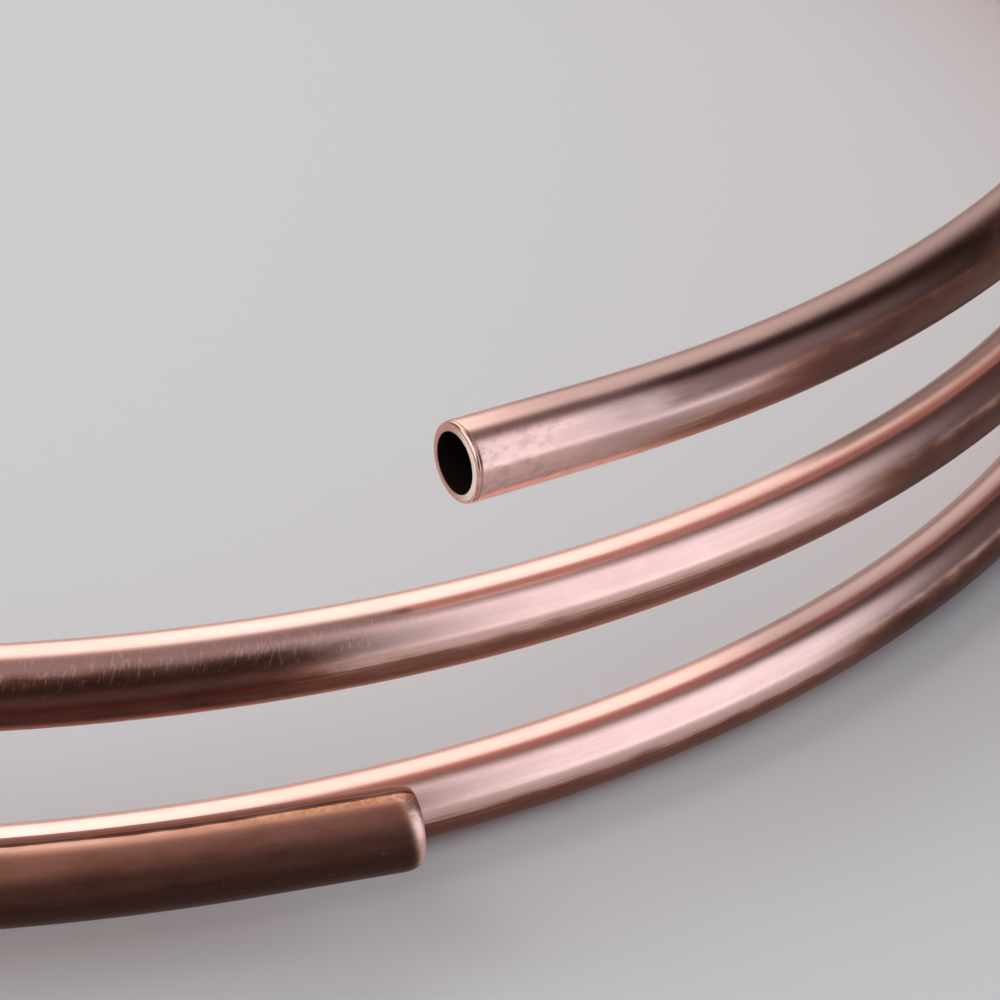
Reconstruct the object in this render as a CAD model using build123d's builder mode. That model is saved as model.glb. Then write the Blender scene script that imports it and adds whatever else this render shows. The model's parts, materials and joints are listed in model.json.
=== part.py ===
"""Soft copper tube: one 3 m length in three open turns, as it lies after it is uncoiled by hand.

The tube is one piece, open at both ends. It is a left-handed helix: the turns climb
clockwise, seen from above. Most of the lowest turn lies on the floor. The lower end
springs out and up beside the second turn, and the turns above stand apart.

Millimetres, +Z up. The origin is on the floor, under the middle of the coil. The front
is -Y, where both ends stop. Angles along the coil are in degrees from the lower end.
"""
import os
from math import cos, pi, radians, sin

from build123d import *

# The tube
tube_od = 8.0
wall = 1.0
straight_end = 15.0     # what stays straight at each end, for a fitting to slide on
lip_share = 0.2         # share of the wall that the cutter rolls over at each end

# The turns
turns = 2.9606
coil_radius = 159.1     # of the centreline, where the second turn begins
taper = 1.85            # what each turn loses in radius on the way up
front_angle = 9.73      # from the front towards +X, where the lowest turn begins
arcs_per_turn = 12

# The climb
turn_gap = 15.0         # clear height between the turns where the climb begins
gap_closing = 2.0       # what the height of each turn loses on the way up
lift_off = 366.0        # angle along the coil at which the tube leaves the floor
lift_blend = 57.0       # angle over which it bends up to the full climb

# The lower end
end_gap = 6.0           # clear distance from the lower end in to the second turn
end_lift = 9.8          # how far the lower end stands up off the floor
spread_angle = 270.0    # angle over which the lower end comes in to the coil
settle_angle = 180.0    # angle over which the lower end comes down to the floor

FULL_TURN = 360.0


def fade(angle, reach):
    """Fall smoothly from 1 at the lower end to 0 at the given angle along the coil."""
    return (1 + cos(pi * angle / reach)) / 2 if angle < reach else 0.0


def turns_climbed(angle):
    """Give the turns since lift-off, with a parabola where the tube bends up."""
    past = (angle - lift_off) / FULL_TURN
    blend = lift_blend / FULL_TURN
    if past <= 0:
        return 0.0
    return past**2 / (2 * blend) if past < blend else past - blend / 2


def centre(angle):
    """Give the point of the centreline at an angle along the coil."""
    end_spread = tube_od + end_gap - taper
    radius = coil_radius - taper * (angle / FULL_TURN - 1) + end_spread * fade(angle, spread_angle)
    climbed = turns_climbed(angle)
    climb = (tube_od + turn_gap) * climbed - gap_closing * climbed**2
    height = tube_od / 2 + climb + end_lift * fade(angle, settle_angle)
    heading = radians(front_angle - angle)
    return Vector(radius * sin(heading), -radius * cos(heading), height)


# The centreline: a straight end, tangent arcs round the turns, and a straight end
arc_count = round(turns * arcs_per_turn)
step = turns * FULL_TURN / arc_count
with BuildLine() as centreline:
    first = ThreePointArc(centre(0), centre(step / 2), centre(step))
    Line(first @ 0 - (first % 0) * straight_end, first @ 0)
    last = first
    for count in range(1, arc_count):
        last = TangentArc(centre(count * step), centre((count + 1) * step), tangent=last % 1)
    Line(last @ 1, last @ 1 + (last % 1) * straight_end)
middle = centreline.line.bounding_box().center()
route = centreline.wires()[0].moved(Location((-middle.X, -middle.Y, 0)))

# The tube, drawn along the centreline, with the outer edge of each cut end rolled over
with BuildPart() as copper_tube:
    with BuildSketch(Plane(origin=route @ 0, z_dir=route % 0)):
        Circle(tube_od / 2)
        Circle(tube_od / 2 - wall, mode=Mode.SUBTRACT)
    sweep(path=route)
    rims = copper_tube.faces().filter_by(GeomType.PLANE)
    outer_edges = [rim.edges().sort_by(SortBy.RADIUS)[-1] for rim in rims]
    fillet(outer_edges, lip_share * wall)

copper_tube.part.label = "copper_tube"
os.makedirs("parts", exist_ok=True)
export_step(copper_tube.part, "parts/copper_tube.step")
print(f"tube length {route.length:.1f} mm, height {copper_tube.part.bounding_box().size.Z:.1f} mm")
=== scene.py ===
"""Soft copper tube in three open turns: the drawn tube, its cut ends and its finish, in a plain studio.

The tube follows the same line as the solid that it stands for, so the sizes below are that
part's. Metres, +Z up. The studio is a pale floor with large soft lamps round it.
"""

import json
from functools import cached_property
from math import cos, pi, radians, sin

import bpy
import numpy as np
from bpy.props import FloatProperty, FloatVectorProperty, IntProperty, PointerProperty
from mathutils import Matrix, Vector


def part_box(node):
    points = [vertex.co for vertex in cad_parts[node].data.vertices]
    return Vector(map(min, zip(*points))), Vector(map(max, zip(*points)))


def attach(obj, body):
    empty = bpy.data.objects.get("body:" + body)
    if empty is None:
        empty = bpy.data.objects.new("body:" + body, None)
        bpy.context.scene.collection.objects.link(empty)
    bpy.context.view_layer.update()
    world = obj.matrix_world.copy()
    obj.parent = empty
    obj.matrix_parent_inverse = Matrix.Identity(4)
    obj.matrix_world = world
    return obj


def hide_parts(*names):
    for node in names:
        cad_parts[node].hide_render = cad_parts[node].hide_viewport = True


bl_info = {
    "name": "Copper Tube Coil",
    "version": (1, 0, 0),
    "blender": (4, 5, 0),
    "location": "View3D > Sidebar > Copper Tube",
    "description": "Builds a soft copper tube in open turns and the studio that it is shown in",
    "category": "Object",
}

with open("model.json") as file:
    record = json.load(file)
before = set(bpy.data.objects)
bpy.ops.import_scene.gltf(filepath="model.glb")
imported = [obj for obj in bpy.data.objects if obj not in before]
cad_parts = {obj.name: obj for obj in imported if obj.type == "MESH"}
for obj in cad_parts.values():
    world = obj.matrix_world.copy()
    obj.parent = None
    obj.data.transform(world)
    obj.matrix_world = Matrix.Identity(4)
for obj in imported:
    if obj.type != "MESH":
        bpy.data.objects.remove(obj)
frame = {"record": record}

MM = 0.001
FULL_TURN = 2 * pi
MOUNTS = {mount["name"]: mount for mount in frame["record"]["mounts"]}
FLOOR_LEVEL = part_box("copper_tube")[0].z
STRAY_LIMIT = 0.4 * MM          # how far the drawn tube's box may lie from its solid's
SHARP_EDGE = radians(50)        # edges that turn by more than this stay sharp
SENSOR_WIDTH = 36.0             # of the camera, in millimetres
DRAWN, CUT, BORE = range(3)     # the slots of the tube's three materials


def mount_radius(name):
    """Give a mount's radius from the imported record, in metres."""
    return MOUNTS[name]["dims"]["r_mm"] * MM


def length(name, default, description):
    """Declare a length with Blender's units on it."""
    return FloatProperty(name=name, description=description, default=default, min=0.0,
                         precision=4, unit="LENGTH")


def angle(name, default, description):
    """Declare an angle, given in degrees."""
    return FloatProperty(name=name, description=description, default=radians(default),
                         subtype="ANGLE")


def share(name, default, description, top=1.0):
    """Declare a plain number from nothing to a limit."""
    return FloatProperty(name=name, description=description, default=default, min=0.0, max=top)


def colour(name, default, description):
    """Declare a colour in linear light."""
    return FloatVectorProperty(name=name, description=description, default=default, size=3,
                               subtype="COLOR", min=0.0, max=1.0)


class CopperTubeShape(bpy.types.PropertyGroup):
    """The tube and the line that it lies along"""

    outside_radius: length("Outside radius", mount_radius("upper_end_outside"),
                           "Half of what the tube measures across")
    bore_radius: length("Bore radius", mount_radius("upper_end_bore"),
                        "Half of what the bore measures across")
    straight_end: length("Straight end", 15 * MM, "What stays straight at each end")
    turns: share("Turns", 2.9606, "Turns from one bent end to the other", 20.0)
    coil_radius: length("Coil radius", 159.1 * MM,
                        "Radius of the centreline where the second turn begins")
    taper: length("Taper", 1.85 * MM, "What each turn loses in radius on the way up")
    front_angle: angle("Front angle", 9.73, "From the front towards +X, where the tube begins")
    turn_gap: length("Turn gap", 15 * MM, "Clear height between the turns where the climb begins")
    gap_closing: length("Gap closing", 2 * MM, "What each turn's height loses on the way up")
    lift_off: angle("Lift-off", 366, "Angle along the coil at which the tube leaves the floor")
    lift_blend: angle("Lift blend", 57, "Angle over which the tube bends up to its full climb")
    end_gap: length("End gap", 6 * MM, "From the lower end in to the second turn")
    end_lift: length("End lift", 9.8 * MM, "How far the lower end stands up off the floor")
    spread_angle: angle("Spread angle", 270, "Angle over which the lower end comes in")
    settle_angle: angle("Settle angle", 180, "Angle over which the lower end comes down")
    around: IntProperty(name="Faces around", description="Faces round the tube", default=64,
                        min=12, max=128)
    ring_step: length("Ring step", 3.4 * MM, "Distance between the rings of faces outside")
    bore_step: length("Bore step", 6.8 * MM, "Distance between the rings of faces inside")


class CopperFinish(bpy.types.PropertyGroup):
    """How the copper looks"""

    copper: colour("Copper", (0.88, 0.575, 0.505), "Clean drawn copper")
    haze: colour("Haze", (0.72, 0.405, 0.335), "Copper that has begun to dull")
    # Tarnish, film and stain also colour painted shade: the dark band on the lower outer flank and some
    # stained places stand in for dark reflections.
    tarnish: colour("Tarnish", (0.66, 0.36, 0.27), "Copper where the film is thin")
    film_and_shade: colour("Film", (0.39, 0.155, 0.10), "Copper under a brown film")
    stain_and_shade: colour("Stain", (0.105, 0.043, 0.035), "The darkest of the film")
    # Soot is painted shade: the nearly black underside of the lower end.
    painted_shade_under_end: colour("Soot", (0.030, 0.014, 0.011), "The nearly black film under the lower end")
    dulled: colour("Dulled copper", (0.38, 0.25, 0.23), "Copper that has lost its brightness")
    oxide: colour("Oxide", (0.52, 0.20, 0.065), "Orange spots and lines")
    edge: colour("Edge tint", (1.0, 0.89, 0.84), "What is left of the light at a glancing angle")
    cut: colour("Cut metal", (1.0, 0.93, 0.85), "The freshly cut face")
    # Bore is painted shade: the inside is coloured nearly black.
    bore: colour("Bore", (0.010, 0.005, 0.003), "The dull inside of the tube")
    roughness: share("Roughness", 0.215, "Roughness of the clean drawn surface")


class StudioSetup(bpy.types.PropertyGroup):
    """The floor, the lamps and the camera"""

    floor: colour("Floor", (0.64, 0.64, 0.65), "The pale floor")
    floor_near: length("Floor near", 0.6, "From the middle to where the floor begins to fade")
    floor_far: length("Floor far", 1.15, "From the middle to where the cove has taken its place")
    floor_reach: length("Floor reach", 12.0, "From the middle to the floor's edges")
    cove: colour("Cove", (0.50, 0.50, 0.51), "Where the pale floor sweeps up far behind")
    horizon: colour("Horizon", (0.062, 0.040, 0.037), "The dim room above the cove")
    overhead: colour("Overhead", (0.31, 0.262, 0.27), "The room straight above")
    camera_back: length("Camera back", 419.7 * MM, "From the coil's middle to the camera")
    camera_height: length("Camera height", 222.3 * MM, "From the floor up to the camera")
    camera_turn: angle("Camera turn", 11.206, "How far the camera looks to the right")
    camera_tilt: angle("Camera tilt", 33.963, "How far the camera looks down")
    camera_roll: angle("Camera roll", 4.039, "How far the camera leans")
    lens: FloatProperty(name="Lens", description="The camera's focal length", default=129.3,
                        unit="CAMERA")


def smooth_fade(turned, reach):
    """Fall smoothly from 1 at the lower end to 0 at the given angle along the coil."""
    return np.where(turned < reach, (1 + np.cos(pi * turned / reach)) / 2, 0.0)


def turns_climbed(shape, turned):
    """Give the turns since lift-off, with a parabola where the tube bends up."""
    past = np.maximum(turned - shape.lift_off, 0) / FULL_TURN
    blend = shape.lift_blend / FULL_TURN
    return np.where(past < blend, past**2 / (2 * blend), past - blend / 2)


def bent_line(shape, turned):
    """Give the centreline's points at angles along the coil, about the coil's own axis."""
    outside = 2 * shape.outside_radius
    spread = outside + shape.end_gap - shape.taper
    radius = shape.coil_radius - shape.taper * (turned / FULL_TURN - 1)
    radius += spread * smooth_fade(turned, shape.spread_angle)
    climbed = turns_climbed(shape, turned)
    height = shape.outside_radius + (outside + shape.turn_gap) * climbed
    height += shape.end_lift * smooth_fade(turned, shape.settle_angle)
    height -= shape.gap_closing * climbed**2
    heading = shape.front_angle - turned
    return np.stack([radius * np.sin(heading), -radius * np.cos(heading), height], axis=1)


def unit(vectors):
    """Give each vector a length of one."""
    return vectors / np.linalg.norm(vectors, axis=1, keepdims=True)


class Centreline:
    """The tube's middle line with its straight ends, which can be read at any distance along it."""

    SAMPLE = 0.2 * MM

    def __init__(self, shape):
        count = int(shape.turns * FULL_TURN * shape.coil_radius / self.SAMPLE)
        bent = bent_line(shape, np.linspace(0, shape.turns * FULL_TURN, count))
        middle = (bent.min(axis=0) + bent.max(axis=0)) / 2
        self.axis = Vector((-middle[0], -middle[1], 0))
        bent += np.array([self.axis.x, self.axis.y, 0])
        steps = np.arange(shape.straight_end, 0, -self.SAMPLE)[:, None]
        before = bent[0] - steps * unit(bent[1:2] - bent[:1])
        after = bent[-1] + steps[::-1] * unit(bent[-1:] - bent[-2:-1])
        self.points = np.concatenate([before, bent, after])
        gaps = np.linalg.norm(np.diff(self.points, axis=0), axis=1)
        self.distances = np.concatenate([[0], np.cumsum(gaps)])
        self.length = self.distances[-1]

    def read(self, line, distances):
        """Read a list of vectors that goes with the points at distances along the tube."""
        return np.stack([np.interp(distances, self.distances, line[:, i]) for i in range(3)], axis=1)

    def places(self, distances):
        """Give the points, the upward directions and the sideways directions there."""
        along = unit(self.read(np.gradient(self.points, axis=0), distances))
        side = unit(np.cross(along, (0.0, 0.0, 1.0)))
        return self.read(self.points, distances), np.cross(side, along), side


# depth from the cut face and inset from the outside, in millimetres
SAWN_RIM = (
    (0.012, 0.70), (0.045, 0.34), (0.07, 0.25), (0.11, 0.175), (0.17, 0.11), (0.24, 0.065),
    (0.33, 0.04), (0.42, 0.035), (0.475, 0.06), (0.53, 0.03), (0.62, 0.008), (0.80, 0.0),
)
ROLLED_RIM = (
    (0.0, 0.80), (0.0, 0.58), (0.02, 0.50), (0.07, 0.43), (0.15, 0.365), (0.29, 0.29),
    (0.48, 0.21), (0.70, 0.14), (0.93, 0.082), (1.16, 0.04), (1.40, 0.013), (1.70, 0.0),
)

# depth from the cut face and how far the bore opens out, in millimetres
BORE_EDGE = ((0.50, 0.0), (0.12, 0.0), (0.035, 0.015), (0.0, 0.05))

# material slots of the first steps from ring to ring, from the bore out over the cut face
EDGE_SLOTS = (BORE, BORE, BORE, CUT, CUT)


def cut_edge(shape, rim):
    """Give (depth, radius) from the bore, over the cut face, to the plain outside."""
    inner = [(depth * MM, shape.bore_radius + opening * MM) for depth, opening in BORE_EDGE]
    return inner + [(depth * MM, shape.outside_radius - inset * MM) for depth, inset in rim]


def even_rings(start, end, step, radius):
    """Give rings of one radius, about a step apart and half a step in from both distances."""
    inset = step / 2 if end > start else -step / 2
    count = round((abs(end - start) - step) / step)
    return [(place, radius) for place in np.linspace(start + inset, end - inset, count)]


def ring_table(shape, line):
    """Give each ring's distance and radius, the slot of its step, and how many lie outside."""
    lower, upper = cut_edge(shape, ROLLED_RIM), cut_edge(shape, SAWN_RIM)
    upper = [(line.length - depth, radius) for depth, radius in reversed(upper)]
    plain = even_rings(lower[-1][0], upper[0][0], shape.ring_step, shape.outside_radius)
    bore = even_rings(upper[-1][0], lower[0][0], shape.bore_step, shape.bore_radius)
    outside = lower + plain + upper
    last = len(outside) - 1
    slots = np.full(len(outside) + len(bore), DRAWN)
    slots[:len(EDGE_SLOTS)] = EDGE_SLOTS
    slots[last - len(EDGE_SLOTS):last] = EDGE_SLOTS[::-1]
    slots[last:] = BORE
    return np.array(outside + bore), slots, len(outside)


def grid_faces(rings, around):
    """Join each ring to the next, and the last to the first."""
    ring, step = np.meshgrid(np.arange(rings), np.arange(around), indexing="ij")
    after, onward = (ring + 1) % rings, (step + 1) % around
    corners = [ring * around + step, ring * around + onward,
               after * around + onward, after * around + step]
    return np.stack(corners, axis=-1).reshape(-1, 4)


BAKE_STRIPS = 11        # strips that the outside is laid in, one above the other
BAKE_OUTSIDE = 0.96     # share of the square that they take
BAKE_MARGIN = 0.03      # share of a strip's height that stays bare below and above it


def bake_layout(rings, outside, around):
    """Lay the outside flat in strips, with the bore squeezed into a thin one above them."""
    closed = np.concatenate([rings, rings[:1]])
    run = np.concatenate([[0], np.cumsum(np.linalg.norm(np.diff(closed, axis=0), axis=1))])
    starts = np.append(np.linspace(0, outside - 1, BAKE_STRIPS + 1).astype(int), len(rings))
    ring = np.arange(len(rings))
    strip = np.searchsorted(starts, ring, side="right") - 1
    begins, ends = run[starts[strip]], run[starts[strip + 1]]
    near, far = (run[ring] - begins) / (ends - begins), (run[ring + 1] - begins) / (ends - begins)
    bore = strip == BAKE_STRIPS
    room = np.where(bore, 1 - BAKE_OUTSIDE, BAKE_OUTSIDE / BAKE_STRIPS)
    bottom = np.where(bore, BAKE_OUTSIDE, strip * BAKE_OUTSIDE / BAKE_STRIPS) + room * BAKE_MARGIN
    height = room * (1 - 2 * BAKE_MARGIN)
    turned = np.arange(around) / around
    low = bottom[:, None] + height[:, None] * turned
    high = low + height[:, None] / around
    near, far = np.broadcast_to(near[:, None], low.shape), np.broadcast_to(far[:, None], low.shape)
    corners = [(near, low), (near, high), (far, high), (far, low)]
    return np.stack([np.stack(corner, axis=-1) for corner in corners], axis=2)


def build_tube(shape, line, name):
    """Sweep the wall of the tube, with its bore and both cut ends, as one closed mesh."""
    rings, slots, outside = ring_table(shape, line)
    distances, radii = rings[:, 0], rings[:, 1]
    points, up, side = line.places(distances)
    turn = np.arange(shape.around) / shape.around * FULL_TURN
    rise, swing = np.cos(turn), np.sin(turn)
    across = rise[None, :, None] * up[:, None] + swing[None, :, None] * side[:, None]
    places = points[:, None] + radii[:, None, None] * across
    mesh = bpy.data.meshes.new(name)
    faces = grid_faces(len(rings), shape.around)
    mesh.from_pydata(places.reshape(-1, 3).tolist(), [], faces.tolist())
    skin = np.stack([
        np.broadcast_to(distances[:, None], places.shape[:2]),
        radii[:, None] * rise, radii[:, None] * swing,
    ], axis=-1) / MM
    mesh.attributes.new("skin", "FLOAT_VECTOR", "POINT").data.foreach_set(
        "vector", skin.reshape(-1).astype(np.float32))
    mesh.polygons.foreach_set("material_index", np.repeat(slots, shape.around))
    mesh.polygons.foreach_set("use_smooth", np.ones(len(faces), bool))
    mesh.set_sharp_from_angle(angle=SHARP_EDGE)
    layout = bake_layout(rings, outside, shape.around)
    mesh.uv_layers.new(name="OFBake").data.foreach_set("uv", layout.reshape(-1).astype(np.float32))
    tube = bpy.data.objects.new(name, mesh)
    bpy.context.scene.collection.objects.link(tube)
    return tube


class Wire:
    """One output of a shader node. Arithmetic on it adds Math nodes."""

    def __init__(self, tree, socket=None):
        self.tree, self.socket = tree, socket

    def node(self, kind, settings=None, values=None, out=0):
        """Add a node, set its settings, then its sockets, and give one of its outputs."""
        made = self.tree.nodes.new(kind)
        for key, value in (settings or {}).items():
            setattr(made, key, value)
        for key, value in (values or {}).items():
            if isinstance(value, Wire):
                self.tree.links.new(value.socket, made.inputs[key])
            else:
                made.inputs[key].default_value = value
        return Wire(self.tree, made.outputs[out])

    def maths(self, operation, *values):
        """Add one Math node."""
        return self.node("ShaderNodeMath", {"operation": operation}, dict(enumerate(values)))

    def __add__(self, other):
        return self.maths("ADD", self, other)

    def __radd__(self, other):
        return self.maths("ADD", other, self)

    def __sub__(self, other):
        return self.maths("SUBTRACT", self, other)

    def __rsub__(self, other):
        return self.maths("SUBTRACT", other, self)

    def __mul__(self, other):
        return self.maths("MULTIPLY", self, other)

    def __rmul__(self, other):
        return self.maths("MULTIPLY", other, self)

    def part(self, index):
        """Give one number of a vector."""
        return self.node("ShaderNodeSeparateXYZ", {}, {0: self}, index)

    def between(self, low, high):
        """Rise smoothly from 0 at low to 1 at high, or fall where low is the larger."""
        values = {"Value": self, "From Min": low, "From Max": high}
        return self.node("ShaderNodeMapRange", {"interpolation_type": "SMOOTHSTEP"}, values)

    def within(self, low, high, soft):
        """Give 1 between two values, and fall smoothly to 0 over the distance soft beyond them."""
        return self.between(low - soft, low) * self.between(high + soft, high)

    def either(self, other):
        """Give the larger of two values."""
        return self.maths("MAXIMUM", self, other)

    def stretched(self, along, across):
        """Scale the tube's own coordinates along it and across it."""
        scale = {0: self, 1: (along, across, across)}
        return self.node("ShaderNodeVectorMath", {"operation": "MULTIPLY"}, scale)

    def noise(self, detail, roughness, shift=0.0):
        """Give a cloudy value from 0 to 1 at these coordinates, moved by a shift."""
        moved = self.node("ShaderNodeVectorMath", {"operation": "ADD"}, {0: self, 1: (shift, 0, 0)})
        values = {"Vector": moved, "Scale": 1.0, "Detail": detail, "Roughness": roughness}
        return self.node("ShaderNodeTexNoise", {}, values)

    def mix(self, first, second):
        """Blend two colours by this value."""
        return self.node("ShaderNodeMix", {"data_type": "RGBA"}, {0: self, 6: first, 7: second}, 2)


def opaque(shade):
    """Give a colour with full alpha."""
    return (*shade, 1.0)


def new_material(name):
    """Make a material with an empty shader, and give it with a wire to build on."""
    material = bpy.data.materials.new(name)
    material.use_nodes = True
    return material, Wire(material.node_tree)


def dress(material, wire, constants, varying, bump=None):
    """Set the shader's constants on its own sockets, link what varies, and add a bump."""
    shader = material.node_tree.nodes["Principled BSDF"]
    for key, value in constants.items():
        shader.inputs[key].default_value = value
    for key, value in varying.items():
        wire.tree.links.new(value.socket, shader.inputs[key])
    if bump:
        height, depth = bump
        raised = wire.node("ShaderNodeBump", {}, {"Height": height, "Distance": depth, "Strength": 1.0})
        wire.tree.links.new(raised.socket, shader.inputs["Normal"])
    return material


# places on the drawn surface: from and to along it in millimetres, and the way it faces in degrees
RUBBED = (
    (236, 262, -20), (604, 660, 35), (1330, 1372, -95), (1716, 1738, 20), (2026, 2064, -42),
    (2388, 2450, -70), (2705, 2730, 10),
)
DULLED = ((858, 982, 24), (2894, 2990, 25))
# the stained places are partly real stains and partly painted shade, dark bands that stand in for dark
# reflections on the turns in view
STAINS_AND_SHADE = (
    (-60, 70, -108), (330, 402, -118), (640, 668, -60), (880, 968, -102), (1210, 1304, -112),
    (1520, 1560, -40), (1890, 1962, -98), (2044, 2110, -84), (2330, 2372, -120), (2630, 2700, -90),
    (2880, 2959, -92),
)


class Skin:
    """The tube's surface in its own millimetres: along it, then up and sideways from its middle."""

    def __init__(self, wire):
        self.place = wire.node("ShaderNodeAttribute", {"attribute_name": "skin"}, out="Vector")

    @cached_property
    def heading(self):
        """The way that the surface faces, straight out from the tube's middle."""
        across = self.place.stretched(0.0, 1.0)
        return across.node("ShaderNodeVectorMath", {"operation": "NORMALIZE"}, {0: across})

    def facing(self, way):
        """Give 1 where it faces a way and -1 behind. In degrees, 0 is up and -90 out from the coil."""
        way = radians(way)
        return self.heading.part(1) * cos(way) + self.heading.part(2) * sin(way)

    def cloud(self, along, across, detail, roughness, shift=0.0):
        """Give noise at its own scale along the tube and across it."""
        return self.place.stretched(along, across).noise(detail, roughness, shift)


class DrawnSkin(Skin):
    """The outside of the tube, with how far it is from both ends and what makes it uneven."""

    def __init__(self, wire, reach):
        super().__init__(wire)
        self.from_lower = self.place.part(0)
        self.from_upper = reach - self.from_lower
        self.drift = self.cloud(0.012, 0.16, 2.0, 0.5)
        self.blotch = self.cloud(0.22, 0.6, 3.0, 0.55, 70.0)
        self.mottle = self.cloud(2.0, 2.6, 3.0, 0.65, 140.0)
        self.streaks = self.cloud(0.06, 4.0, 3.0, 0.6, 210.0)
        finer = (self.blotch - 0.5) * 0.5 + (self.streaks - 0.5) * 0.16
        self.uneven = (self.drift - 0.5) * 0.3 + finer
        self.wander = self.uneven * 0.012

    def placed(self, places, soft, full, bare):
        """Give 1 in each of the places and fall to 0 beyond it, over a soft distance along the tube.

        Round the tube it falls from where facing the place's way gives full to where it gives bare.
        """
        found = None
        for start, end, way in places:
            mask = (self.from_lower + self.uneven * soft).within(start, end, soft)
            mask = mask * (self.facing(way) + self.uneven * 0.5).between(bare, full)
            found = mask if found is None else found.either(mask)
        return found


def dulled_places(skin):
    """Give how dull the copper is, in its places and in the side and marks near the upper end."""
    side = (skin.from_upper + skin.uneven * 20).within(20, 44, 14)
    side = side * skin.facing(-50).between(0.5, 0.9)
    marks = skin.cloud(0.8, 1.3, 2.0, 0.5, 500.0).between(0.42, 0.68)
    marks = marks * skin.from_upper.between(36, 10)
    return skin.placed(DULLED, 18, 0.92, 0.5).either(side * 0.66).either(marks * 0.4)


def painted_dark_reflections(skin):
    """Give painted dark reflections: the dark band behind the upper end, and the dark top of the turn
    under it, where it reflects the turn above.
    """
    band = (skin.from_upper + skin.uneven * 16).within(28, 66, 12)
    band = band * (skin.facing(-41) + skin.uneven * 0.06).between(0.87, 0.98)
    top = skin.from_lower.within(1880, 1968, 14)
    top = top * (skin.facing(34) + skin.uneven * 0.05).between(0.8, 0.93)
    return band.either(top)


def brown_films_and_shade(skin):
    """Give the brown film with painted shade on the lower flank, the stains and painted shade in it,
    the painted shade under the lower end and that end's film.
    """
    clouds = skin.blotch.between(0.46, 0.66)
    past_lips = (skin.from_lower + skin.uneven * 0.7 + skin.facing(-140) * 0.7).between(0.75, 1.95)
    past_lips = past_lips * skin.from_upper.between(0.5, 0.8)
    ragged = skin.uneven * 0.2 + (skin.streaks - 0.5) * 0.14
    # The lower outer flank is partly a real brown film and partly painted shade: a dark band that
    # stands in for a dark reflection there.
    filmed_and_shaded_flank = (skin.facing(-111) + ragged).between(0.84, 0.99) * skin.from_upper.between(10, 32)
    near_lower = skin.from_lower.between(170, 50)
    lower = near_lower * (skin.facing(-80) + skin.uneven * 0.3).between(-0.8, 1.0)
    # Painted shade: darker on the outer side near the lower end.
    dark = near_lower * (skin.facing(-90) + skin.uneven * 0.3).between(0.1, 0.9)
    # Painted shade: nearly black under the lower end.
    painted_shade_under_end = near_lower * (skin.facing(-125) + skin.uneven * 0.25).between(0.05, 0.85) * past_lips
    # The stained places: real stains, some of them painted shade.
    stains_and_shade = skin.placed(STAINS_AND_SHADE, 18, 0.95, 0.64)
    film_and_shade = (filmed_and_shaded_flank * 0.95).either(lower * (0.8 + clouds * 0.1)).either(stains_and_shade)
    film_and_shade = film_and_shade * past_lips * (0.88 + skin.streaks * 0.24)
    stain_and_shade = stains_and_shade.either(filmed_and_shaded_flank * 0.5) * (0.6 + skin.mottle * 0.15 + skin.blotch * 0.45)
    dark = dark * (0.62 + clouds * 0.1 + skin.mottle * 0.1)
    stain_and_shade = stain_and_shade.either(painted_shade_under_end * 0.95).either(dark) * past_lips
    return film_and_shade, stain_and_shade, painted_shade_under_end, lower


def orange_oxide(skin, film_and_shade):
    """Give the line along the top of the lower end, that end's corner, and the spots in the film."""
    seam = skin.from_lower.between(34, 3) * (skin.facing(-3) + skin.wander).between(0.990, 0.998)
    corner = skin.from_lower.between(2.4, 0.9) * skin.facing(-8).between(0.75, 0.95)
    spots = skin.cloud(1.6, 2.0, 3.0, 0.7, 360.0)
    oxide = seam.either(corner) * (0.12 + spots.between(0.36, 0.62) * 0.8)
    return oxide.either(film_and_shade * spots.between(0.66, 0.74) * 0.4)


def rubbed_hairs(skin):
    """Give the fine strokes that lean across the rubbed places."""
    up = skin.place.part(1)
    leaning = {0: skin.from_lower * 4.4 + up * 1.7, 1: up * 1.05, 2: skin.place.part(2)}
    strokes = up.node("ShaderNodeCombineXYZ", {}, leaning).noise(1.0, 0.5, 300.0)
    return strokes.between(0.54, 0.66) * skin.placed(RUBBED, 4, 0.985, 0.94)


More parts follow.
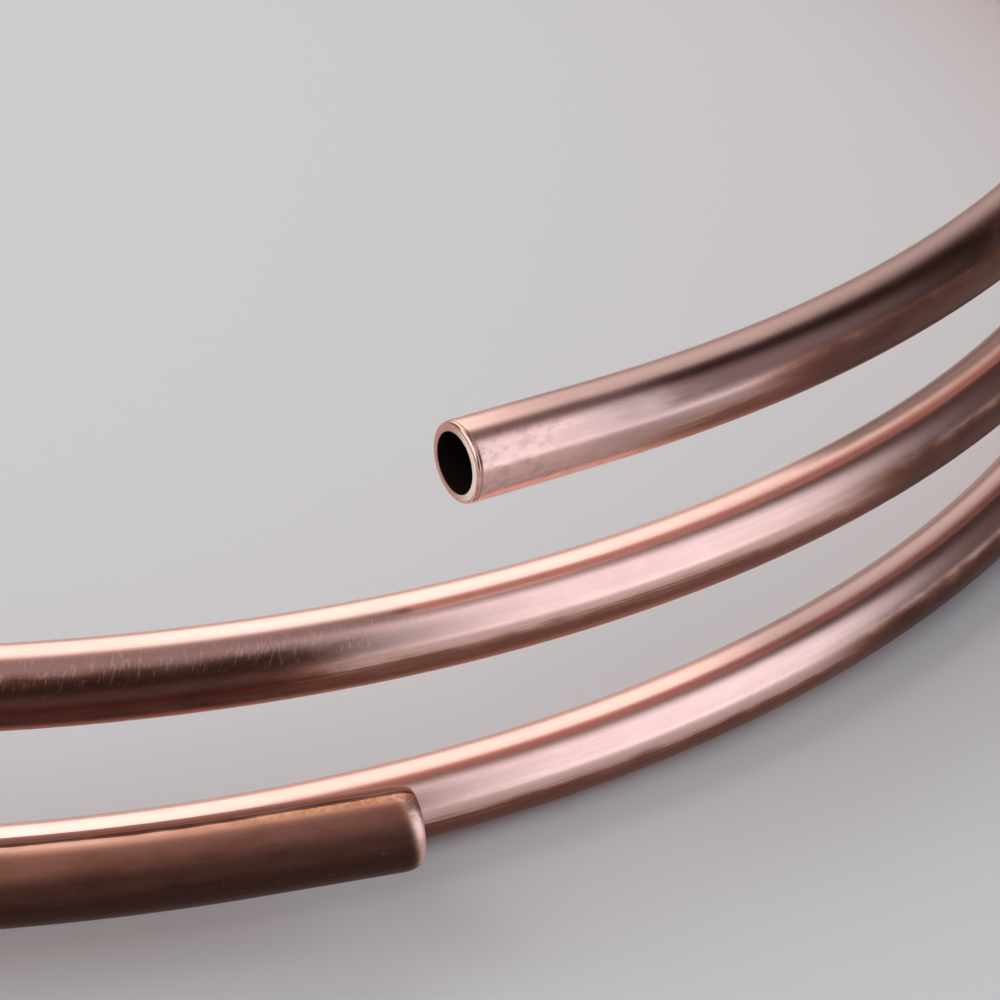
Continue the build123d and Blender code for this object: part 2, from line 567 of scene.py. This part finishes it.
def drawn_copper(finish, reach):
    """Satin copper as it leaves the die, with a brown film, rubbed places and fine drawing lines, and
    painted shade and painted dark reflections in its colour.
    """
    material, wire = new_material("drawn_copper")
    skin = DrawnSkin(wire, reach)
    haze = (skin.blotch * 0.2 + skin.streaks * 0.15 + skin.drift * 0.65).between(0.4, 0.62) * 0.5
    film_and_shade, stain_and_shade, painted_shade_under_end, lower = brown_films_and_shade(skin)
    oxide = orange_oxide(skin, film_and_shade)
    hairs = rubbed_hairs(skin)

    # the film beside the orange line, the dark line further in, and the groove of the sawn rim, whose
    # darkening is painted shade
    beside = skin.from_lower.between(90, 30) * (skin.facing(30) + skin.wander * 3).between(0.86, 0.97)
    line = skin.from_lower.between(110, 60) * (skin.facing(5) + skin.wander).between(0.9965, 0.9992)
    groove = skin.from_upper.within(0.42, 0.50, 0.08)

    # the film and stain layers hold painted shade as well as real film and stains, the soot layer is
    # painted shade, and the layer over the stain holds painted dark reflections
    tint = opaque(finish.copper)
    for cover, shade in (
        (haze, finish.haze),
        (dulled_places(skin) * 0.92, finish.dulled),
        (film_and_shade.between(0.0, 0.7), finish.tarnish),
        (film_and_shade.either(beside * 0.9).between(0.15, 1.0), finish.film_and_shade),
        (hairs * 0.35, finish.copper),
        (stain_and_shade.either(painted_dark_reflections(skin) * 0.84), finish.stain_and_shade),
        (painted_shade_under_end * 0.7, finish.painted_shade_under_end),
        (oxide, finish.oxide),
        ((groove * 0.4).either(line * (0.9 + skin.uneven)), finish.stain_and_shade),
    ):
        tint = cover.mix(tint, opaque(shade))

    rough = finish.roughness + haze * 0.05 + film_and_shade * 0.1 + lower.either(beside) * 0.12
    rough = rough + oxide * 0.1 + hairs * 0.08 + (skin.mottle - 0.5) * 0.05
    height = skin.cloud(0.03, 8.0, 2.0, 0.6, 40.0) * 0.5 + skin.mottle * 0.25
    constants = {"Metallic": 1.0, "Specular Tint": opaque(finish.edge)}
    return dress(material, wire, constants, {"Base Color": tint, "Roughness": rough},
                 (height, 0.004 * MM))


def cut_copper(finish):
    """The bare face that the cutter leaves, with fine turning marks and a painted highlight on its
    inner side.
    """
    material, wire = new_material("cut_copper")
    skin = Skin(wire)
    grain = skin.cloud(3.0, 5.0, 3.0, 0.6)
    # Painted highlight: the face is paler towards the coil's middle and duller outward, mixed with
    # random grain.
    dull = (grain * 0.7 - skin.facing(-80) * 0.7).between(-0.25, 0.55)
    rough = 0.66 - dull * 0.3 + grain * 0.1
    tint = dull.mix(opaque(finish.cut), opaque(finish.haze))
    return dress(material, wire, {"Metallic": 1.0}, {"Base Color": tint, "Roughness": rough},
                 (grain, 0.01 * MM))


def painted_shade_bore(finish):
    """The inside of the tube, dull, with painted shade making it nearly black."""
    material, wire = new_material("painted_shade_bore")
    rough = 0.45 + Skin(wire).cloud(0.05, 3.0, 2.0, 0.6) * 0.2
    return dress(material, wire, {"Base Color": opaque(finish.bore), "Metallic": 0.6},
                 {"Roughness": rough})


def pale_floor(studio):
    """An even matt surface, which far out fades to the cove for the camera and in reflections."""
    material, wire = new_material("pale_floor")
    seen = wire.node("ShaderNodeLightPath", out="Is Camera Ray")
    for ray in ("Is Glossy Ray", "Is Transmission Ray"):
        seen = seen.either(wire.node("ShaderNodeLightPath", out=ray))
    middle = wire.node("ShaderNodeTexCoord", out="Object")
    away = wire.node("ShaderNodeVectorMath", {"operation": "LENGTH"}, {0: middle}, "Value")
    faded = seen * away.between(studio.floor_near, studio.floor_far)
    constants = {"Base Color": opaque(studio.floor), "Roughness": 0.6, "Specular IOR Level": 0.3}
    return dress(material, wire, constants, {"Alpha": 1 - faded})


def lay_floor(studio):
    """Lay the pale floor under the coil."""
    mesh = bpy.data.meshes.new("floor")
    signs = ((-1, -1), (1, -1), (1, 1), (-1, 1))
    corners = [(x * studio.floor_reach, y * studio.floor_reach, FLOOR_LEVEL) for x, y in signs]
    mesh.from_pydata(corners, [], [(0, 1, 2, 3)])
    mesh.materials.append(pale_floor(studio))
    floor = bpy.data.objects.new("floor", mesh)
    bpy.context.scene.collection.objects.link(floor)


def soft_lamp(name, target, heading, height, lean, distance, size, brightness, tint, edge):
    """Hang a large lamp that faces the target. Its brightness is 1 where it would look white."""
    lamp = bpy.data.lights.new(name, "AREA")
    lamp.shape = "RECTANGLE"
    lamp.size, lamp.size_y = size
    lamp.energy = brightness * pi * size[0] * size[1]
    lamp.color = tint
    lamp.use_nodes = True
    across = Wire(lamp.node_tree).node("ShaderNodeNewGeometry", out="Parametric")
    level = across.part(0).within(edge, 1 - edge, edge) * across.part(1).within(edge, 1 - edge, edge)
    lamp.node_tree.links.new(level.socket, lamp.node_tree.nodes["Emission"].inputs["Strength"])
    back = Vector((sin(heading) * cos(height), cos(heading) * cos(height), sin(height)))
    facing_target = back.to_track_quat("Z", "Y").to_matrix().to_4x4()
    holder = bpy.data.objects.new(name, lamp)
    place = Matrix.Translation(target + back * distance)
    holder.matrix_world = place @ facing_target @ Matrix.Rotation(lean, 4, "Z")
    holder.visible_camera = False
    bpy.context.scene.collection.objects.link(holder)


# heading from +Y towards +X, height and lean in degrees, distance and size in metres, brightness,
# tint, and the share of the lamp over which its edges fade
LAMPS = {
    "back_lamp": (-7, 40, 12, 1.35, (1.85, 2.1), 1.65, (1.0, 1.0, 0.99), 0.27),
    "right_lamp": (120, 26, -22, 1.3, (1.2, 2.4), 1.3, (0.89, 1.02, 1.17), 0.32),
    "left_lamp": (-120, 42, 0, 1.4, (2.6, 1.8), 1.9, (1.0, 0.99, 0.98), 0.16),
}


def studio_world(studio):
    """Light the room evenly, pale where the floor ends, dim above that and brighter overhead.

    Up is 0 at the horizon and 1 straight above.
    """
    world = bpy.data.worlds.new("studio_room")
    world.use_nodes = True
    wire = Wire(world.node_tree)
    up = wire.node("ShaderNodeTexCoord", out="Generated").part(2)
    shade = up.between(0.68, 1.0).mix(opaque(studio.horizon), opaque(studio.overhead))
    shade = up.between(0.06, 0.13).mix(opaque(studio.cove), shade)
    world.node_tree.links.new(shade.socket, world.node_tree.nodes["Background"].inputs["Color"])
    return world


def place_camera(studio, axis):
    """Stand the camera where the picture was taken from."""
    camera = bpy.data.objects.new("camera", bpy.data.cameras.new("camera"))
    camera.data.lens, camera.data.sensor_width = studio.lens, SENSOR_WIDTH
    camera.data.dof.use_dof = False
    camera.data.clip_start = 10 * MM
    turn = Matrix.Rotation(-studio.camera_turn, 4, "Z")
    tilt = Matrix.Rotation(pi / 2 - studio.camera_tilt, 4, "X")
    lean = Matrix.Rotation(studio.camera_roll, 4, "Z")
    place = axis + Vector((0, -studio.camera_back, studio.camera_height))
    camera.matrix_world = Matrix.Translation(place) @ turn @ tilt @ lean
    bpy.context.scene.collection.objects.link(camera)
    bpy.context.scene.camera = camera


class TUBE_OT_copper_tube(bpy.types.Operator):
    """Build the copper tube with its finish, in place of the plain solid"""

    bl_idname = "tube.copper_tube"
    bl_label = "Copper Tube"

    def execute(self, context):
        shape, finish = context.scene.copper_tube_shape, context.scene.copper_finish
        line = Centreline(shape)
        tube = build_tube(shape, line, "drawn_tube")
        drawn = drawn_copper(finish, line.length / MM)
        for material in (drawn, cut_copper(finish), painted_shade_bore(finish)):
            tube.data.materials.append(material)
        low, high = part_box("copper_tube")
        places = np.array([vertex.co for vertex in tube.data.vertices])
        strayed = max(np.abs(places.min(axis=0) - low).max(), np.abs(places.max(axis=0) - high).max())
        if strayed > STRAY_LIMIT:
            raise RuntimeError(f"the tube strays {strayed / MM:.2f} mm from its solid")
        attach(tube, "root")
        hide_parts("copper_tube")
        return {"FINISHED"}


class TUBE_OT_studio(bpy.types.Operator):
    """Lay the pale floor, hang the soft lamps and stand the camera"""

    bl_idname = "tube.studio"
    bl_label = "Studio"

    def execute(self, context):
        studio = context.scene.studio_setup
        lay_floor(studio)
        axis = Centreline(context.scene.copper_tube_shape).axis
        for name, (heading, height, lean, *rest) in LAMPS.items():
            soft_lamp(name, axis, radians(heading), radians(height), radians(lean), *rest)
        context.scene.world = studio_world(studio)
        place_camera(studio, axis)
        context.scene.view_settings.view_transform = "Standard"
        return {"FINISHED"}


class TUBE_PT_panel(bpy.types.Panel):
    """Lists what the tube is made with"""

    bl_idname = "TUBE_PT_panel"
    bl_label = "Copper Tube"
    bl_space_type = "VIEW_3D"
    bl_region_type = "UI"
    bl_category = "Copper Tube"

    def draw(self, context):
        for operator in OPERATORS:
            self.layout.operator(operator.bl_idname)
        for group in GROUPS:
            settings = getattr(context.scene, group)
            box = self.layout.box()
            for key in settings.bl_rna.properties.keys():
                if key not in ("rna_type", "name"):
                    box.prop(settings, key)


OPERATORS = (TUBE_OT_copper_tube, TUBE_OT_studio)
GROUPS = {
    "copper_tube_shape": CopperTubeShape,
    "copper_finish": CopperFinish,
    "studio_setup": StudioSetup,
}
CLASSES = (*GROUPS.values(), *OPERATORS, TUBE_PT_panel)


def register():
    """Register the classes and hang their settings on the scene."""
    for cls in CLASSES:
        bpy.utils.register_class(cls)
    for name, group in GROUPS.items():
        setattr(bpy.types.Scene, name, PointerProperty(type=group))


def unregister():
    """Take away what register added."""
    for name in GROUPS:
        delattr(bpy.types.Scene, name)
    for cls in reversed(CLASSES):
        bpy.utils.unregister_class(cls)


def main():
    """Build everything."""
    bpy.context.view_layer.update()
    register()
    bpy.ops.tube.copper_tube()
    bpy.ops.tube.studio()


if __name__ == "__main__":
    main()
